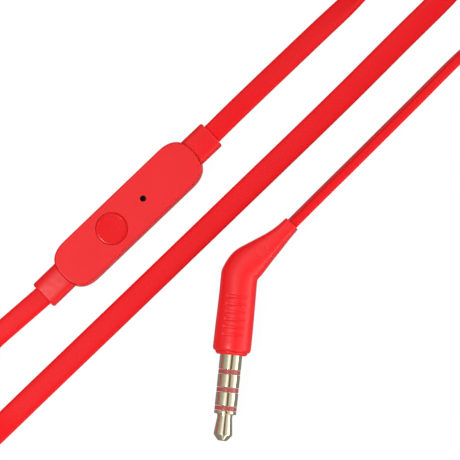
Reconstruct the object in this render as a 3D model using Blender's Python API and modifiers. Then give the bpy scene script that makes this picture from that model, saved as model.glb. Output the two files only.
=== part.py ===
"""Wired in-ear earphones: angled four-contact plug, flat cables, Y splitter, in-line remote, two earbuds.

The set lies on a surface at z = 0 as it is put away: the spare main cable is wound into a double-layer
ring, and the left branch into a flat ring round its own earbud. The origin is the centre of the remote's
back face, +Z up. Lengths in the constants are millimetres, and MM turns them into metres.
"""

import math

import bmesh
import bpy
from mathutils import Matrix, Vector

MM = 0.001
GAP = 0.3  # clearance where a cable's solid meets its neighbour
FIT = 0.1  # clearance between small parts that touch

# Remote control pod, along its own axis, which is turned in the plane of the surface.
REMOTE_ANGLE = 43.75
POD_LENGTH = 28.6
POD_WIDTH = 7.9
POD_HEIGHT = 5.0
POD_END = 4.2  # length of each rounded end
POD_SQUARENESS = 2.5  # exponent of the rounded end's outline, 2 is an ellipse
POD_SEAM = 2.7  # height of the joint between the back shell and the front cover
SEAM_GAP = 0.1
COVER_INSET = 0.2  # how far the front cover stands inside the back shell's outline
POD_WALL = 0.8
BUTTON_AT = -3.43
BUTTON_RADIUS = 2.5
BUTTON_CLEARANCE = 0.08
BUTTON_FLANGE = 0.3  # how far the button's hidden flange stands out, and nearly its thickness
MIC_AT = 3.39
MIC_HOLE_RADIUS = 0.5
COLLAR_WIDTH = 4.78
COLLAR_HEIGHT = 3.6
COLLAR_MIDDLE = 2.45  # height of the collars' and cables' middle at the pod
COLLAR_UPPER_END = 18.15
COLLAR_LOWER_END = 18.5
COLLAR_NECK = (3.3, 1.9)  # width and height where it passes the pod's end wall
COLLAR_PLATE = 0.7  # the plate that holds a collar from inside: its thickness, and its extra height

# Circuit board inside the remote, and the parts on it.
BOARD_TOP = 1.9
BOARD_THICKNESS = 0.6
BOARD_SIZE = (20.0, 4.6)
SWITCH_SIZE = (3.2, 3.0, 1.1)
PLUNGER_RADIUS = 0.65
PLUNGER_LOW, PLUNGER_TOP = 0.8, 1.45  # above the board
STEM_LOW = 1.5  # the button's stem ends this far above the board
MIC_RADIUS = 1.5
MIC_TOP = 1.2
CHIP_SIZE = (2.4, 2.4, 0.7)
CAPACITOR_SIZE = (1.0, 1.8, 0.6)
CAPACITOR_AT = 7.2

# Flat cables: width across the face, and thickness.
MAIN_CABLE = (3.78, 1.6)
BRANCH_CABLE = (3.35, 1.4)

# Plug: barrel axis in the plane of the surface, and the places along it.
PLUG_TILT = 6.0
PLUG_END = (16.2, -22.0)
PLUG_HEIGHT = 3.02
CONTACT_RADIUS = 1.75
ROD_RADIUS = 0.6
BORE_RADIUS = 2.05  # the housing's hole round the inner mould
BORE_DEPTH = 9.0

# Rings of stored cable: centre, first turn's radius, last turn's radius.
MAIN_RING = {"centre": (-54.0, -34.1), "outer": 23.1, "inner": 18.9, "entry": -46.0, "turns": 1574 / 360}
LEFT_RING = {"centre": (-54.3, 22.0), "outer": 20.9, "inner": 17.5, "entry": 180.0, "turns": 1.95}
RING_SIDE = 0.3  # the ring's solid stands this far outside its turns
TIE_THICKNESS = 0.4
TIE_WIDTH = 5.0
RING_BASE = 0.75  # the rings' solids lie on their ties

# Splitter block.
SPLITTER_MIDDLE = (-77.1, -1.0)
SPLITTER_SIZE = (9.6, 14.0, 4.6)
SPLITTER_ROOM = (7.6, 11.6, 2.8)
CRIMP_SIZE = (4.4, 5.0, 2.0)

# Earbuds, along the nozzle's axis from the strain relief's middle.
EARBUD_HEIGHT = 5.95
HOUSING_RADIUS = 5.3
RIGHT_EARBUD = {"at": (-12.0, 43.5), "nozzle": 105.0, "relief": 15.0}
LEFT_EARBUD = {"at": (-48.3, 17.0), "nozzle": 180.0, "relief": 90.0}
BOOT_END = 12.5
BOOT_START = HOUSING_RADIUS + 0.45
BOOT_HOLE = 1.75

RED = (0.80, 0.035, 0.042)
DARK_RED = (0.62, 0.02, 0.026)
GOLD = (0.86, 0.74, 0.52)
STEEL = (0.55, 0.55, 0.57)
BLACK = (0.03, 0.03, 0.035)
GREEN = (0.03, 0.16, 0.07)

PARTS = "wired_earphones"
CUTTERS = "cutters"


def clear_scene():
    for obj in list(bpy.data.objects):
        bpy.data.objects.remove(obj, do_unlink=True)


def collection(name):
    found = bpy.data.collections.get(name) or bpy.data.collections.new(name)
    if name not in bpy.context.scene.collection.children:
        bpy.context.scene.collection.children.link(found)
    return found


def material(name, colour, roughness, metallic=0.0):
    found = bpy.data.materials.get(name)
    if found is None:
        found = bpy.data.materials.new(name)
        found.use_nodes = True
        shader = found.node_tree.nodes["Principled BSDF"]
        shader.inputs["Base Color"].default_value = (*colour, 1.0)
        shader.inputs["Roughness"].default_value = roughness
        shader.inputs["Metallic"].default_value = metallic
    return found


def empty(name, at, turn=0.0):
    """A frame for the parts of one assembly: at in millimetres, turned about +Z by degrees."""
    frame = bpy.data.objects.new(name, None)
    frame.location = Vector(at) * MM
    frame.rotation_euler = (0.0, 0.0, math.radians(turn))
    collection(PARTS).objects.link(frame)
    return frame


def add(name, mesh, mat, parent=None, at=(0.0, 0.0, 0.0), turn=(0.0, 0.0, 0.0)):
    """A part in the object's collection, at a place in millimetres and a rotation in degrees."""
    obj = bpy.data.objects.new(name, mesh)
    if mat:
        obj.data.materials.append(mat)
    obj.parent = parent
    obj.location = Vector(at) * MM
    obj.rotation_euler = [math.radians(a) for a in turn]
    collection(PARTS).objects.link(obj)
    return obj


def finish_mesh(work, name, smooth_angle=35.0):
    mesh = bpy.data.meshes.new(name)
    bmesh.ops.recalc_face_normals(work, faces=work.faces)
    work.to_mesh(mesh)
    work.free()
    mesh.shade_smooth()
    mesh.set_sharp_from_angle(angle=math.radians(smooth_angle))
    return mesh


def bevel(obj, width, segments=2, angle=30.0):
    changed = obj.modifiers.new("rounded_edges", "BEVEL")
    changed.width = width * MM
    changed.segments = segments
    changed.limit_method = "ANGLE"
    changed.angle_limit = math.radians(angle)


def box_mesh(name, size, at=(0.0, 0.0, 0.0)):
    work = bmesh.new()
    bmesh.ops.create_cube(work, size=1.0)
    bmesh.ops.scale(work, vec=Vector(size) * MM, verts=work.verts)
    bmesh.ops.translate(work, vec=Vector(at) * MM, verts=work.verts)
    return finish_mesh(work, name)


def turned(name, profile, mat, parent=None, at=(0.0, 0.0, 0.0), turn=(0.0, 0.0, 0.0), steps=20):
    """A turned solid about its own Z. profile is (radius, height), down the outer side from the top."""
    mesh = bpy.data.meshes.new(name)
    points = [(radius * MM, 0.0, height * MM) for radius, height in profile]
    around = [(i, (i + 1) % len(points)) for i in range(len(points))]
    edges = [(i, j) for i, j in around if points[i][0] > 0.0 or points[j][0] > 0.0]
    mesh.from_pydata(points, edges, [])
    obj = add(name, mesh, mat, parent, at, turn)
    screw = obj.modifiers.new("turned", "SCREW")
    screw.steps = screw.render_steps = steps
    screw.use_merge_vertices = True
    screw.merge_threshold = 0.00001
    screw.use_smooth_shade = False
    return obj


def outline_points(length, width, end, squareness, per_end=8):
    """A pill outline in millimetres: straight sides and two superelliptic ends, anticlockwise."""
    half, points = length / 2 - end, []
    for side, start in ((1, -90.0), (-1, 90.0)):
        for k in range(per_end + 1):
            angle = math.radians(start + 180.0 * k / per_end)
            c, s = math.cos(angle), math.sin(angle)
            x = side * half + math.copysign(end * abs(c) ** (2 / squareness), side)
            points.append((x, width / 2 * math.copysign(abs(s) ** (2 / squareness), s)))
    return points


def slab(name, points, low, high):
    """A closed prism between two heights on an outline."""
    work = bmesh.new()
    bottom = [work.verts.new(Vector((x, y, low)) * MM) for x, y in points]
    face = work.faces.new(bottom)
    pulled = bmesh.ops.extrude_face_region(work, geom=[face])
    top = [v for v in pulled["geom"] if isinstance(v, bmesh.types.BMVert)]
    bmesh.ops.translate(work, vec=(0.0, 0.0, (high - low) * MM), verts=top)
    return finish_mesh(work, name)


def skin(work, loops):
    """Faces between neighbouring loops, and one across each end."""
    for first, second in zip(loops, loops[1:]):
        for k in range(len(first)):
            nxt = (k + 1) % len(first)
            work.faces.new((first[k], first[nxt], second[nxt], second[k]))
    work.faces.new(loops[0])
    work.faces.new(loops[-1])


def cutter(mesh, parent=None, at=(0.0, 0.0, 0.0), turn=(0.0, 0.0, 0.0)):
    obj = bpy.data.objects.new("cut_" + mesh.name, mesh)
    obj.parent = parent
    obj.location = Vector(at) * MM
    obj.rotation_euler = [math.radians(a) for a in turn]
    obj.hide_render = True
    obj.display_type = "WIRE"
    collection(CUTTERS).objects.link(obj)
    return obj


def cut(obj, tool):
    changed = obj.modifiers.new("cut", "BOOLEAN")
    changed.operation = "DIFFERENCE"
    changed.object = tool
    changed.solver = "EXACT"


def rod_mesh(name, radius, low, high, steps=20):
    work = bmesh.new()
    middle = Matrix.Translation((0.0, 0.0, (low + high) / 2 * MM))
    bmesh.ops.create_cone(
        work,
        cap_ends=True,
        segments=steps,
        radius1=radius * MM,
        radius2=radius * MM,
        depth=(high - low) * MM,
        matrix=middle,
    )
    return finish_mesh(work, name)


# Remote ---------------------------------------------------------------------------------------------


def make_remote(mats):
    frame = empty("remote_frame", (0.0, 0.0, 0.0), REMOTE_ANGLE)
    make_pod(frame, mats)
    make_button(frame, mats)
    make_board(frame, mats)
    make_collar("remote_collar_upper", frame, 0.0, COLLAR_UPPER_END, mats)
    make_collar("remote_collar_lower", frame, 180.0, COLLAR_LOWER_END, mats)


def make_pod(frame, mats):
    """The back shell, open inside, and the front cover with the button's and the microphone's holes."""
    inset = 2 * COVER_INSET
    wall = 2 * POD_WALL + inset
    outer = outline_points(POD_LENGTH, POD_WIDTH, POD_END, POD_SQUARENESS)
    cover = outline_points(POD_LENGTH - inset, POD_WIDTH - inset, POD_END, POD_SQUARENESS)
    room = outline_points(POD_LENGTH - wall, POD_WIDTH - wall, POD_END - POD_WALL, POD_SQUARENESS)
    roof = POD_HEIGHT - POD_WALL
    doorway = (POD_LENGTH + 4.0, COLLAR_NECK[0] + 2 * FIT, COLLAR_NECK[1] + 2 * FIT)
    doorways = cutter(box_mesh("cable_doorways", doorway, (0.0, 0.0, COLLAR_MIDDLE)), frame)

    shell = add("remote_back_shell", slab("remote_back_shell", outer, 0.0, POD_SEAM), mats["pod"], frame)
    bevel(shell, 0.45, 2, 60.0)
    cut(shell, cutter(slab("back_room", room, POD_WALL, POD_HEIGHT), frame))
    cut(shell, doorways)

    front_mesh = slab("remote_front_cover", cover, POD_SEAM + SEAM_GAP, POD_HEIGHT)
    front = add("remote_front_cover", front_mesh, mats["pod"], frame)
    bevel(front, 0.4, 2, 60.0)
    cut(front, cutter(slab("front_room", room, 0.0, roof), frame))
    cut(front, doorways)
    button_hole = rod_mesh("button_hole", BUTTON_RADIUS + BUTTON_CLEARANCE, roof - 1, POD_HEIGHT + 1, 24)
    cut(front, cutter(button_hole, frame, (BUTTON_AT, 0, 0)))
    mic_hole = rod_mesh("mic_hole", MIC_HOLE_RADIUS, roof - 1, POD_HEIGHT + 1, 16)
    cut(front, cutter(mic_hole, frame, (MIC_AT, 0, 0)))


def make_button(frame, mats):
    """The dished button, with a flange that keeps it in the cover and a stem that meets the switch."""
    flange_top = POD_HEIGHT - POD_WALL - FIT
    flange_low = flange_top - BUTTON_FLANGE - 0.05
    rim = POD_HEIGHT + 0.05
    stem_radius = 0.8
    turned(
        "remote_button",
        [
            (0.0, rim - 0.12),
            (BUTTON_RADIUS - 0.5, rim - 0.12),
            (BUTTON_RADIUS - 0.25, rim),
            (BUTTON_RADIUS - 0.1, rim),
            (BUTTON_RADIUS, rim - 0.12),
            (BUTTON_RADIUS, flange_top),
            (BUTTON_RADIUS + BUTTON_FLANGE, flange_top),
            (BUTTON_RADIUS + BUTTON_FLANGE, flange_low),
            (stem_radius, flange_low),
            (stem_radius, BOARD_TOP + STEM_LOW),
            (0.0, BOARD_TOP + STEM_LOW),
        ],
        mats["button"],
        frame,
        (BUTTON_AT, 0, 0),
        steps=24,
    )


def make_board(frame, mats):
    """The circuit board with the switch, the microphone and its gasket, the chip and a capacitor."""
    length, width = BOARD_SIZE
    outline = outline_points(length, width, width / 2, 2.0, 6)
    board = slab("remote_circuit_board", outline, BOARD_TOP - BOARD_THICKNESS, BOARD_TOP)
    add("remote_circuit_board", board, mats["board"], frame)

    under_button = (BUTTON_AT, 0, 0)
    body_middle = BOARD_TOP + SWITCH_SIZE[2] / 2 + FIT / 2
    body_mesh = box_mesh("remote_switch_body", SWITCH_SIZE, (0, 0, body_middle))
    body = add("remote_switch_body", body_mesh, mats["steel"], frame, under_button)
    well = rod_mesh("plunger_well", PLUNGER_RADIUS + FIT, BOARD_TOP + 0.45, BOARD_TOP + 2, 16)
    cut(body, cutter(well, frame, under_button))
    plunger = rod_mesh(
        "remote_switch_plunger", PLUNGER_RADIUS, BOARD_TOP + PLUNGER_LOW, BOARD_TOP + PLUNGER_TOP, 16
    )
    add("remote_switch_plunger", plunger, mats["black"], frame, under_button)

    under_mic = (MIC_AT, 0, 0)
    capsule = rod_mesh("remote_microphone", MIC_RADIUS, BOARD_TOP + FIT, BOARD_TOP + MIC_TOP, 24)
    add("remote_microphone", capsule, mats["steel"], frame, under_mic)
    gasket_top = POD_HEIGHT - POD_WALL - FIT
    gasket_low = BOARD_TOP + MIC_TOP + FIT
    gasket_hole = MIC_HOLE_RADIUS + FIT
    gasket = [
        (MIC_RADIUS, gasket_top),
        (MIC_RADIUS, gasket_low),
        (gasket_hole, gasket_low),
        (gasket_hole, gasket_top),
    ]
    turned("remote_mic_gasket", gasket, mats["black"], frame, under_mic, steps=16)

    for name, size, at, mat in (
        ("remote_chip", CHIP_SIZE, 0.0, "black"),
        ("remote_capacitor", CAPACITOR_SIZE, CAPACITOR_AT, "steel"),
    ):
        chip = box_mesh(name, size, (0, 0, BOARD_TOP + size[2] / 2 + FIT))
        add(name, chip, mats[mat], frame, (at, 0, 0))


def make_collar(name, frame, turn, end, mats):
    """A strain-relief block outside the pod, with a neck through the end wall and a plate inside it."""
    start = POD_LENGTH / 2 + FIT
    plate = start - POD_WALL - 0.9
    neck_width, neck_height = COLLAR_NECK
    work = bmesh.new()
    sections = [
        (end, COLLAR_WIDTH, COLLAR_HEIGHT),
        (start, COLLAR_WIDTH, COLLAR_HEIGHT),
        (start, neck_width, neck_height),
        (plate, neck_width, neck_height),
        (plate, neck_width, neck_height + COLLAR_PLATE),
        (plate - COLLAR_PLATE, neck_width, neck_height + COLLAR_PLATE),
    ]
    loops = []
    for x, width, height in sections:
        corners = ((-1, -1), (1, -1), (1, 1), (-1, 1))
        loops.append([work.verts.new(Vector((x, a * width / 2, b * height / 2)) * MM) for a, b in corners])
    skin(work, loops)
    outside = (start - 0.01) * MM
    corner = COLLAR_WIDTH / 2.1 * MM
    long_edges = [e for e in work.edges if all(v.co.x > outside and abs(v.co.y) > corner for v in e.verts)]
    bmesh.ops.bevel(work, geom=long_edges, offset=0.7 * MM, segments=3, affect="EDGES", profile=0.5)
    add(name, finish_mesh(work, name), mats["pod"], frame, (0, 0, COLLAR_MIDDLE), (0, 0, turn))


# Plug -----------------------------------------------------------------------------------------------


def superellipse(half_width, half_height, squareness, sides=20):
    points = []
    power = 2 / squareness
    for k in range(sides):
        angle = 2 * math.pi * k / sides
        c, s = math.cos(angle), math.sin(angle)
        across = half_width * math.copysign(abs(c) ** power, c)
        upward = half_height * math.copysign(abs(s) ** power, s)
        points.append((across, upward))
    return points


# The angled housing's sections: place, heading in degrees, half width, half height, squareness.
PLUG_SECTIONS = [
    ((16.237, -21.652), 84.0, 2.7, 2.7, 2.0),
    ((16.28, -21.25), 84.0, 3.0, 3.0, 2.0),
    ((16.65, -17.8), 84.0, 2.98, 2.98, 2.05),
    ((16.98, -14.7), 84.0, 2.93, 2.93, 2.05),
    ((17.25, -12.0), 84.0, 2.89, 2.90, 2.1),
    ((17.4, -10.4), 80.5, 2.89, 2.88, 2.15),
    ((17.66, -9.3), 72.0, 2.92, 2.86, 2.2),
    ((18.99, -7.54), 55.0, 2.85, 2.80, 2.4),
    ((21.07, -5.81), 47.0, 2.24, 2.76, 2.8),
    ((22.83, -4.38), 45.0, 1.75, 2.70, 3.2),
    ((24.26, -3.06), 45.0, 1.42, 2.62, 3.6),
    ((25.6, -1.7), 45.0, 1.27, 2.52, 4.0),
    ((25.75, -1.55), 45.0, 1.13, 2.38, 4.0),
]

# The plug's pin, along its own axis out of the housing: name, start, end, material.
CONTACTS = [
    ("plug_sleeve", -3.0, 2.45, "gold"),
    ("plug_insulator_1", 2.5, 3.15, "insulator"),
    ("plug_ring_1", 3.2, 5.25, "gold"),
    ("plug_insulator_2", 5.3, 6.0, "insulator"),
    ("plug_ring_2", 6.05, 8.15, "gold"),
    ("plug_insulator_3", 8.2, 8.9, "insulator"),
]


def make_plug(mats):
    work = bmesh.new()
    loops = []
    for (x, y), heading, half_width, half_height, squareness in PLUG_SECTIONS:
        across = Vector((math.sin(math.radians(heading)), -math.cos(math.radians(heading)), 0.0))
        centre = Vector((x, y, PLUG_HEIGHT))
        ring = superellipse(half_width, half_height, squareness)
        loops.append([work.verts.new((centre + across * a + Vector((0, 0, b))) * MM) for a, b in ring])
    skin(work, loops)
    housing = add("plug_housing", finish_mesh(work, "plug_housing"), mats["plug"])

    # The contacts' own frame: its Z runs along the barrel's axis, out of the housing.
    frame = empty("plug_frame", (*PLUG_END, PLUG_HEIGHT))
    frame.rotation_euler = (math.radians(90.0), 0.0, math.radians(-PLUG_TILT))
    cut(housing, cutter(rod_mesh("mould_bore", BORE_RADIUS, -BORE_DEPTH, 1.0), frame))

    contact_hole = CONTACT_RADIUS + FIT
    rod_hole = ROD_RADIUS + 0.15
    mould_radius = BORE_RADIUS - FIT
    mould_low = -BORE_DEPTH + 0.3
    sleeve_low = CONTACTS[0][1]
    turned(
        "plug_inner_mould",
        [
            (contact_hole, 0.15),
            (2.25, 0.15),
            (2.5, -0.1),
            (2.55, -0.32),
            (mould_radius, -0.32),
            (mould_radius, mould_low),
            (rod_hole, mould_low),
            (rod_hole, sleeve_low - FIT),
            (contact_hole, sleeve_low - FIT),
        ],
        mats["plug"],
        frame,
    )
    for name, low, high, mat in CONTACTS:
        profile = [(CONTACT_RADIUS, high), (CONTACT_RADIUS, low), (rod_hole, low), (rod_hole, high)]
        turned(name, profile, mats[mat], frame)
    rod_low = -8.0
    turned(
        "plug_tip",
        [
            (0.0, 13.65),
            (0.66, 13.62),
            (1.1, 13.15),
            (1.47, 12.65),
            (1.44, 12.3),
            (1.28, 10.9),
            (1.18, 9.75),
            (1.35, 9.5),
            (CONTACT_RADIUS, 9.45),
            (CONTACT_RADIUS, 8.95),
            (ROD_RADIUS, 8.95),
            (ROD_RADIUS, rod_low),
            (0.0, rod_low),
        ],
        mats["gold"],
        frame,
    )


# Splitter -------------------------------------------------------------------------------------------


def make_splitter(mats):
    width, length, height = SPLITTER_SIZE
    frame = empty("splitter_frame", (*SPLITTER_MIDDLE, 0.0))
    half = height / 2
    lower_mesh = box_mesh("splitter_back_shell", (width, length, half), (0, 0, half / 2))
    upper_mesh = box_mesh("splitter_front_shell", (width, length, half - FIT), (0, 0, 1.5 * half + FIT / 2))
    chamber = cutter(box_mesh("splitter_chamber", SPLITTER_ROOM, (0, 0, half)), frame)
    for mesh in (lower_mesh, upper_mesh):
        shell = add(mesh.name, mesh, mats["pod"], frame)
        bevel(shell, 0.6, 2, 60.0)
        cut(shell, chamber)
    crimp_mesh = box_mesh("splitter_crimp", CRIMP_SIZE, (0, 0, half))
    bevel(add("splitter_crimp", crimp_mesh, mats["black"], frame), 0.4)


# Earbuds --------------------------------------------------------------------------------------------


def make_earbud(side, spec, mats):
    """One earbud's parts. The frame's Z is the nozzle's axis, and its Y points along the strain relief."""
    frame = empty(side + "_earbud_frame", (*spec["at"], EARBUD_HEIGHT))
    heading = math.radians(spec["nozzle"])
    nozzle = Vector((math.cos(heading), math.sin(heading), 0.0))
    heading = math.radians(spec["relief"])
    boot = Vector((math.cos(heading), math.sin(heading), 0.0))
    rotation = Matrix((boot.cross(nozzle), boot, nozzle)).transposed()
    frame.rotation_euler = rotation.to_euler()

    rear = turned(
        side + "_rear_housing",
        [
            (HOUSING_RADIUS, 3.8),
            (HOUSING_RADIUS, -2.3),
            (HOUSING_RADIUS - 0.35, -3.0),
            (HOUSING_RADIUS - 1.0, -3.3),
            (HOUSING_RADIUS - 1.0, -2.8),
            (0.6, -2.8),
            (0.6, -2.0),
            (HOUSING_RADIUS - 0.9, -2.0),
            (HOUSING_RADIUS - 0.9, 3.8),
        ],
        mats["pod"],
        frame,
        steps=24,
    )
    side_hole = rod_mesh(side + "_boot_hole", BOOT_HOLE, 3.0, 7.0)
    cut(rear, cutter(side_hole, frame, (0, 0, 0), (-90, 0, 0)))
    turned(
        side + "_back_cap",
        [
            (0.0, -2.9),
            (HOUSING_RADIUS - 1.1, -2.9),
            (HOUSING_RADIUS - 1.1, -3.5),
            (HOUSING_RADIUS - 1.5, -3.9),
            (0.0, -4.1),
        ],
        mats["cap"],
        frame,
        steps=24,
    )
    turned(
        side + "_front_housing",
        [
            (2.1, 11.5),
            (2.55, 11.5),
            (2.75, 11.1),
            (2.75, 10.7),
            (2.5, 10.5),
            (2.5, 7.6),
            (3.4, 6.9),
            (HOUSING_RADIUS - 0.5, 5.6),
            (HOUSING_RADIUS, 4.9),
            (HOUSING_RADIUS, 3.95),
            (HOUSING_RADIUS - 1.05, 3.95),
            (HOUSING_RADIUS - 1.05, 3.5),
            (HOUSING_RADIUS - 1.6, 3.5),
            (HOUSING_RADIUS - 1.6, 4.8),
            (1.7, 7.2),
            (1.7, 10.7),
            (2.1, 10.7),
        ],
        mats["pod"],
        frame,
        steps=24,
    )
    add(side + "_nozzle_mesh", rod_mesh(side + "_nozzle_mesh", 2.0, 10.8, 11.2, 24), mats["steel"], frame)
    turned(
        side + "_ear_tip",
        [
            (3.0, 8.3),
            (3.0, 14.0),
            (3.7, 14.0),
            (4.7, 13.2),
            (5.4, 11.9),
            (5.75, 10.2),
            (5.7, 8.8),
            (5.3, 8.5),
            (5.0, 8.9),
            (5.0, 10.2),
            (4.6, 11.8),
            (3.9, 12.5),
            (3.8, 8.3),
        ],
        mats["tip"],
        frame,
        steps=24,
    )
    stem_radius = BOOT_HOLE - 0.15
    turned(
        side + "_strain_relief",
        [
            (0.0, BOOT_END),
            (1.5, BOOT_END),
            (1.9, BOOT_END - 0.3),
            (2.5, BOOT_START),
            (stem_radius, BOOT_START),
            (stem_radius, 4.1),
            (0.0, 4.1),
        ],
        mats["pod"],
        frame,
        (0, 0, 0),
        (-90, 0, 0),
        steps=20,
    )
    make_driver(side, frame, mats)


def make_driver(side, frame, mats):
    """The driver: a steel yoke with its magnet and plate, a frame, and a diaphragm with its voice coil."""
    turned(
        side + "_driver_frame",
        [(4.2, 3.3), (4.2, 1.5), (3.1, 1.5), (3.1, 2.0), (3.75, 2.0), (3.75, 3.3)],
        mats["black"],
        frame,
    )
    turned(
        side + "_driver_yoke",
        [(3.0, 1.4), (3.0, -1.2), (0.0, -1.2), (0.0, -0.7), (2.55, -0.7), (2.55, 1.4)],
        mats["steel"],
        frame,
    )
    for name, radius, low, high in (
        (side + "_driver_magnet", 1.9, -0.6, 0.7),
        (side + "_driver_top_plate", 1.95, 0.8, 1.3),
    ):
        add(name, rod_mesh(name, radius, low, high), mats["steel"], frame)
    turned(
        side + "_driver_diaphragm",
        [
            (0.0, 2.95),
            (1.2, 2.85),
            (2.2, 2.5),
            (3.6, 2.75),
            (3.6, 2.55),
            (2.35, 2.2),
            (2.35, 0.3),
            (2.15, 0.3),
            (2.15, 2.25),
            (1.2, 2.6),
            (0.0, 2.7),
        ],
        mats["film"],
        frame,
    )


# Cables ---------------------------------------------------------------------------------------------

# Each route point is x, y, height of the middle, and roll: 0 lies flat, 90 stands on its edge.
MAIN_ROUTE = [
    (26.1, -1.2, 2.95, 78),
    (30.2, 2.9, 2.75, 78),
    (36.1, 8.75, 2.2, 78),
    (44.4, 17.0, 1.98, 78),
    (52.1, 24.65, 1.98, 80),
    (56.6, 28.3, 1.98, 88),
    (62.0, 31.2, 1.98, 90),
    (67.2, 35.6, 1.98, 90),
    (67.9, 41.6, 1.98, 90),
    (63.8, 45.9, 1.98, 90),
    (57.9, 43.6, 1.95, 82),
    (53.6, 38.6, 1.7, 50),
    (49.1, 33.7, 1.1, 14),
    (42.5, 27.2, 0.88, 4),
    (32.27, 17.03, 0.85, 0),
    (16.47, 1.78, 0.85, 0),
    (0.63, -13.48, 0.85, 0),
    (-14.1, -27.6, 0.85, 0),
    (-20.0, -33.3, 1.0, 8),
    (-25.2, -38.35, 1.9, 45),
    (-30.2, -43.15, 2.7, 90),
]
MAIN_TAIL = [
    (-77.3, -23.9, 5.9, 80),
    (-77.3, -20.0, 4.9, 60),
    (-77.2, -15.0, 3.4, 24),
    (-77.1, -10.5, 2.4, 4),
    (-77.1, -8.35, 2.3, 0),
]
RIGHT_LOWER = [
    (-79.0, 6.35, 2.3, 0),
    (-79.0, 9.5, 2.25, 8),
    (-79.0, 14.0, 1.9, 60),
    (-79.0, 19.0, 1.75, 90),
    (-77.9, 29.2, 1.75, 90),
    (-73.6, 37.5, 1.75, 90),
    (-66.6, 43.4, 1.75, 90),
    (-58.0, 46.3, 1.75, 90),
    (-49.0, 46.0, 1.75, 90),
    (-40.7, 42.3, 1.75, 90),
    (-34.0, 35.6, 1.75, 90),
    (-30.4, 27.2, 1.75, 90),
    (-30.0, 18.0, 1.75, 90),
    (-32.2, 8.0, 1.75, 90),
    (-35.2, -3.0, 1.75, 90),
    (-35.9, -10.5, 1.75, 90),
    (-34.6, -16.2, 1.75, 88),
    (-31.2, -20.9, 1.78, 72),
    (-26.9, -22.9, 1.85, 42),
    (-22.8, -20.9, 2.0, 12),
    (-20.0, -18.52, 2.15, 4),
    (-16.6, -15.59, 2.32, 2),
    (-13.58, -12.99, 2.45, 0),
]
RIGHT_UPPER = [
    (13.33, 12.76, 2.45, 0),
    (16.07, 15.5, 2.1, 4),
    (20.5, 19.85, 1.2, 8),
    (25.0, 24.15, 0.95, 10),
    (30.0, 28.9, 0.95, 12),
    (35.0, 33.6, 1.2, 25),
    (39.0, 37.9, 1.7, 62),
    (41.4, 43.4, 1.75, 88),
    (38.6, 50.2, 1.75, 90),
    (31.6, 53.0, 1.75, 90),
    (23.0, 50.6, 1.8, 90),
    (15.0, 47.6, 2.4, 80),
    (8.0, 46.7, 4.0, 45),
    (3.5, 47.2, 5.4, 14),
    (0.5, 46.85, 5.9, 0),
]
LEFT_RUN = [
    (-75.2, 6.35, 2.3, 0),
    (-75.2, 8.4, 2.35, 16),
    (-75.2, 10.4, 2.5, 62),
    (-75.2, 12.3, 2.6, 90),
]
LEFT_TAIL = [
    (-62.2, 35.3, 2.6, 90),
    (-59.8, 36.3, 2.8, 90),
    (-56.3, 37.15, 3.4, 82),
    (-52.6, 36.1, 4.3, 64),
    (-49.7, 33.4, 5.2, 36),
    (-48.32, 31.2, 5.85, 8),
    (-48.3, 30.05, 5.95, 0),
]


def smooth_route(points, spacing):
    """Points a set distance apart on the smooth curve through a route's own points."""
    rows = [Vector(p[:3]).to_4d() for p in points]
    for row, point in zip(rows, points):
        row.w = point[3]
    rows = [2 * rows[0] - rows[1], *rows, 2 * rows[-1] - rows[-2]]
    steps = 24
    fine = []
    for a, b, c, d in zip(rows, rows[1:], rows[2:], rows[3:]):
        for k in range(steps):
            t = k / steps
            straight = b + (c - a) * (t / 2)
            square = (2 * a - 5 * b + 4 * c - d) * (t * t / 2)
            cube = (3 * b - a - 3 * c + d) * (t**3 / 2)
            fine.append(straight + square + cube)
    fine.append(rows[-2])
    lengths = [0.0]
    for a, b in zip(fine, fine[1:]):
        lengths.append(lengths[-1] + (b.to_3d() - a.to_3d()).length)
    count = max(2, round(lengths[-1] / spacing) + 1)
    found, k = [], 0
    for n in range(count):
        wanted = lengths[-1] * n / (count - 1)
        while k < len(lengths) - 2 and lengths[k + 1] < wanted:
            k += 1
        share = (wanted - lengths[k]) / (lengths[k + 1] - lengths[k])
        found.append(fine[k].lerp(fine[k + 1], share))
    return found


def make_cable(name, route, section, mats, spacing=5.0):
    """A flat cable's plain solid along a stretch that isn't coiled."""
    width, thickness = section
    points = smooth_route(route, spacing)
    data = bpy.data.curves.new(name, "CURVE")
    data.dimensions = "3D"
    data.twist_mode = "Z_UP"
    data.bevel_depth = thickness / 2 * MM
    data.bevel_resolution = 2
    data.extrude = (width - thickness) / 2 * MM
    data.use_fill_caps = True
    spline = data.splines.new("POLY")
    spline.points.add(len(points) - 1)
    for target, point in zip(spline.points, points):
        target.co = (*(point.to_3d() * MM), 1.0)
        target.tilt = math.radians(90.0 - point.w)
    add(name, data, mats["cable"])


def ring_extent(spec, section):
    """Outer and inner radius of the solid that stands for a ring of stored cable."""
    side = section[1] / 2 + RING_SIDE
    return spec["outer"] + side, spec["inner"] - side


def make_ring(name, spec, section, top, mats):
    """The outer shape of a ring of stored cable."""
    outer, inner = ring_extent(spec, section)
    profile = [(outer, top), (outer, RING_BASE), (inner, RING_BASE), (inner, top)]
    turned(name, profile, mats["cable"], at=(*spec["centre"], 0.0), steps=40)


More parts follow.
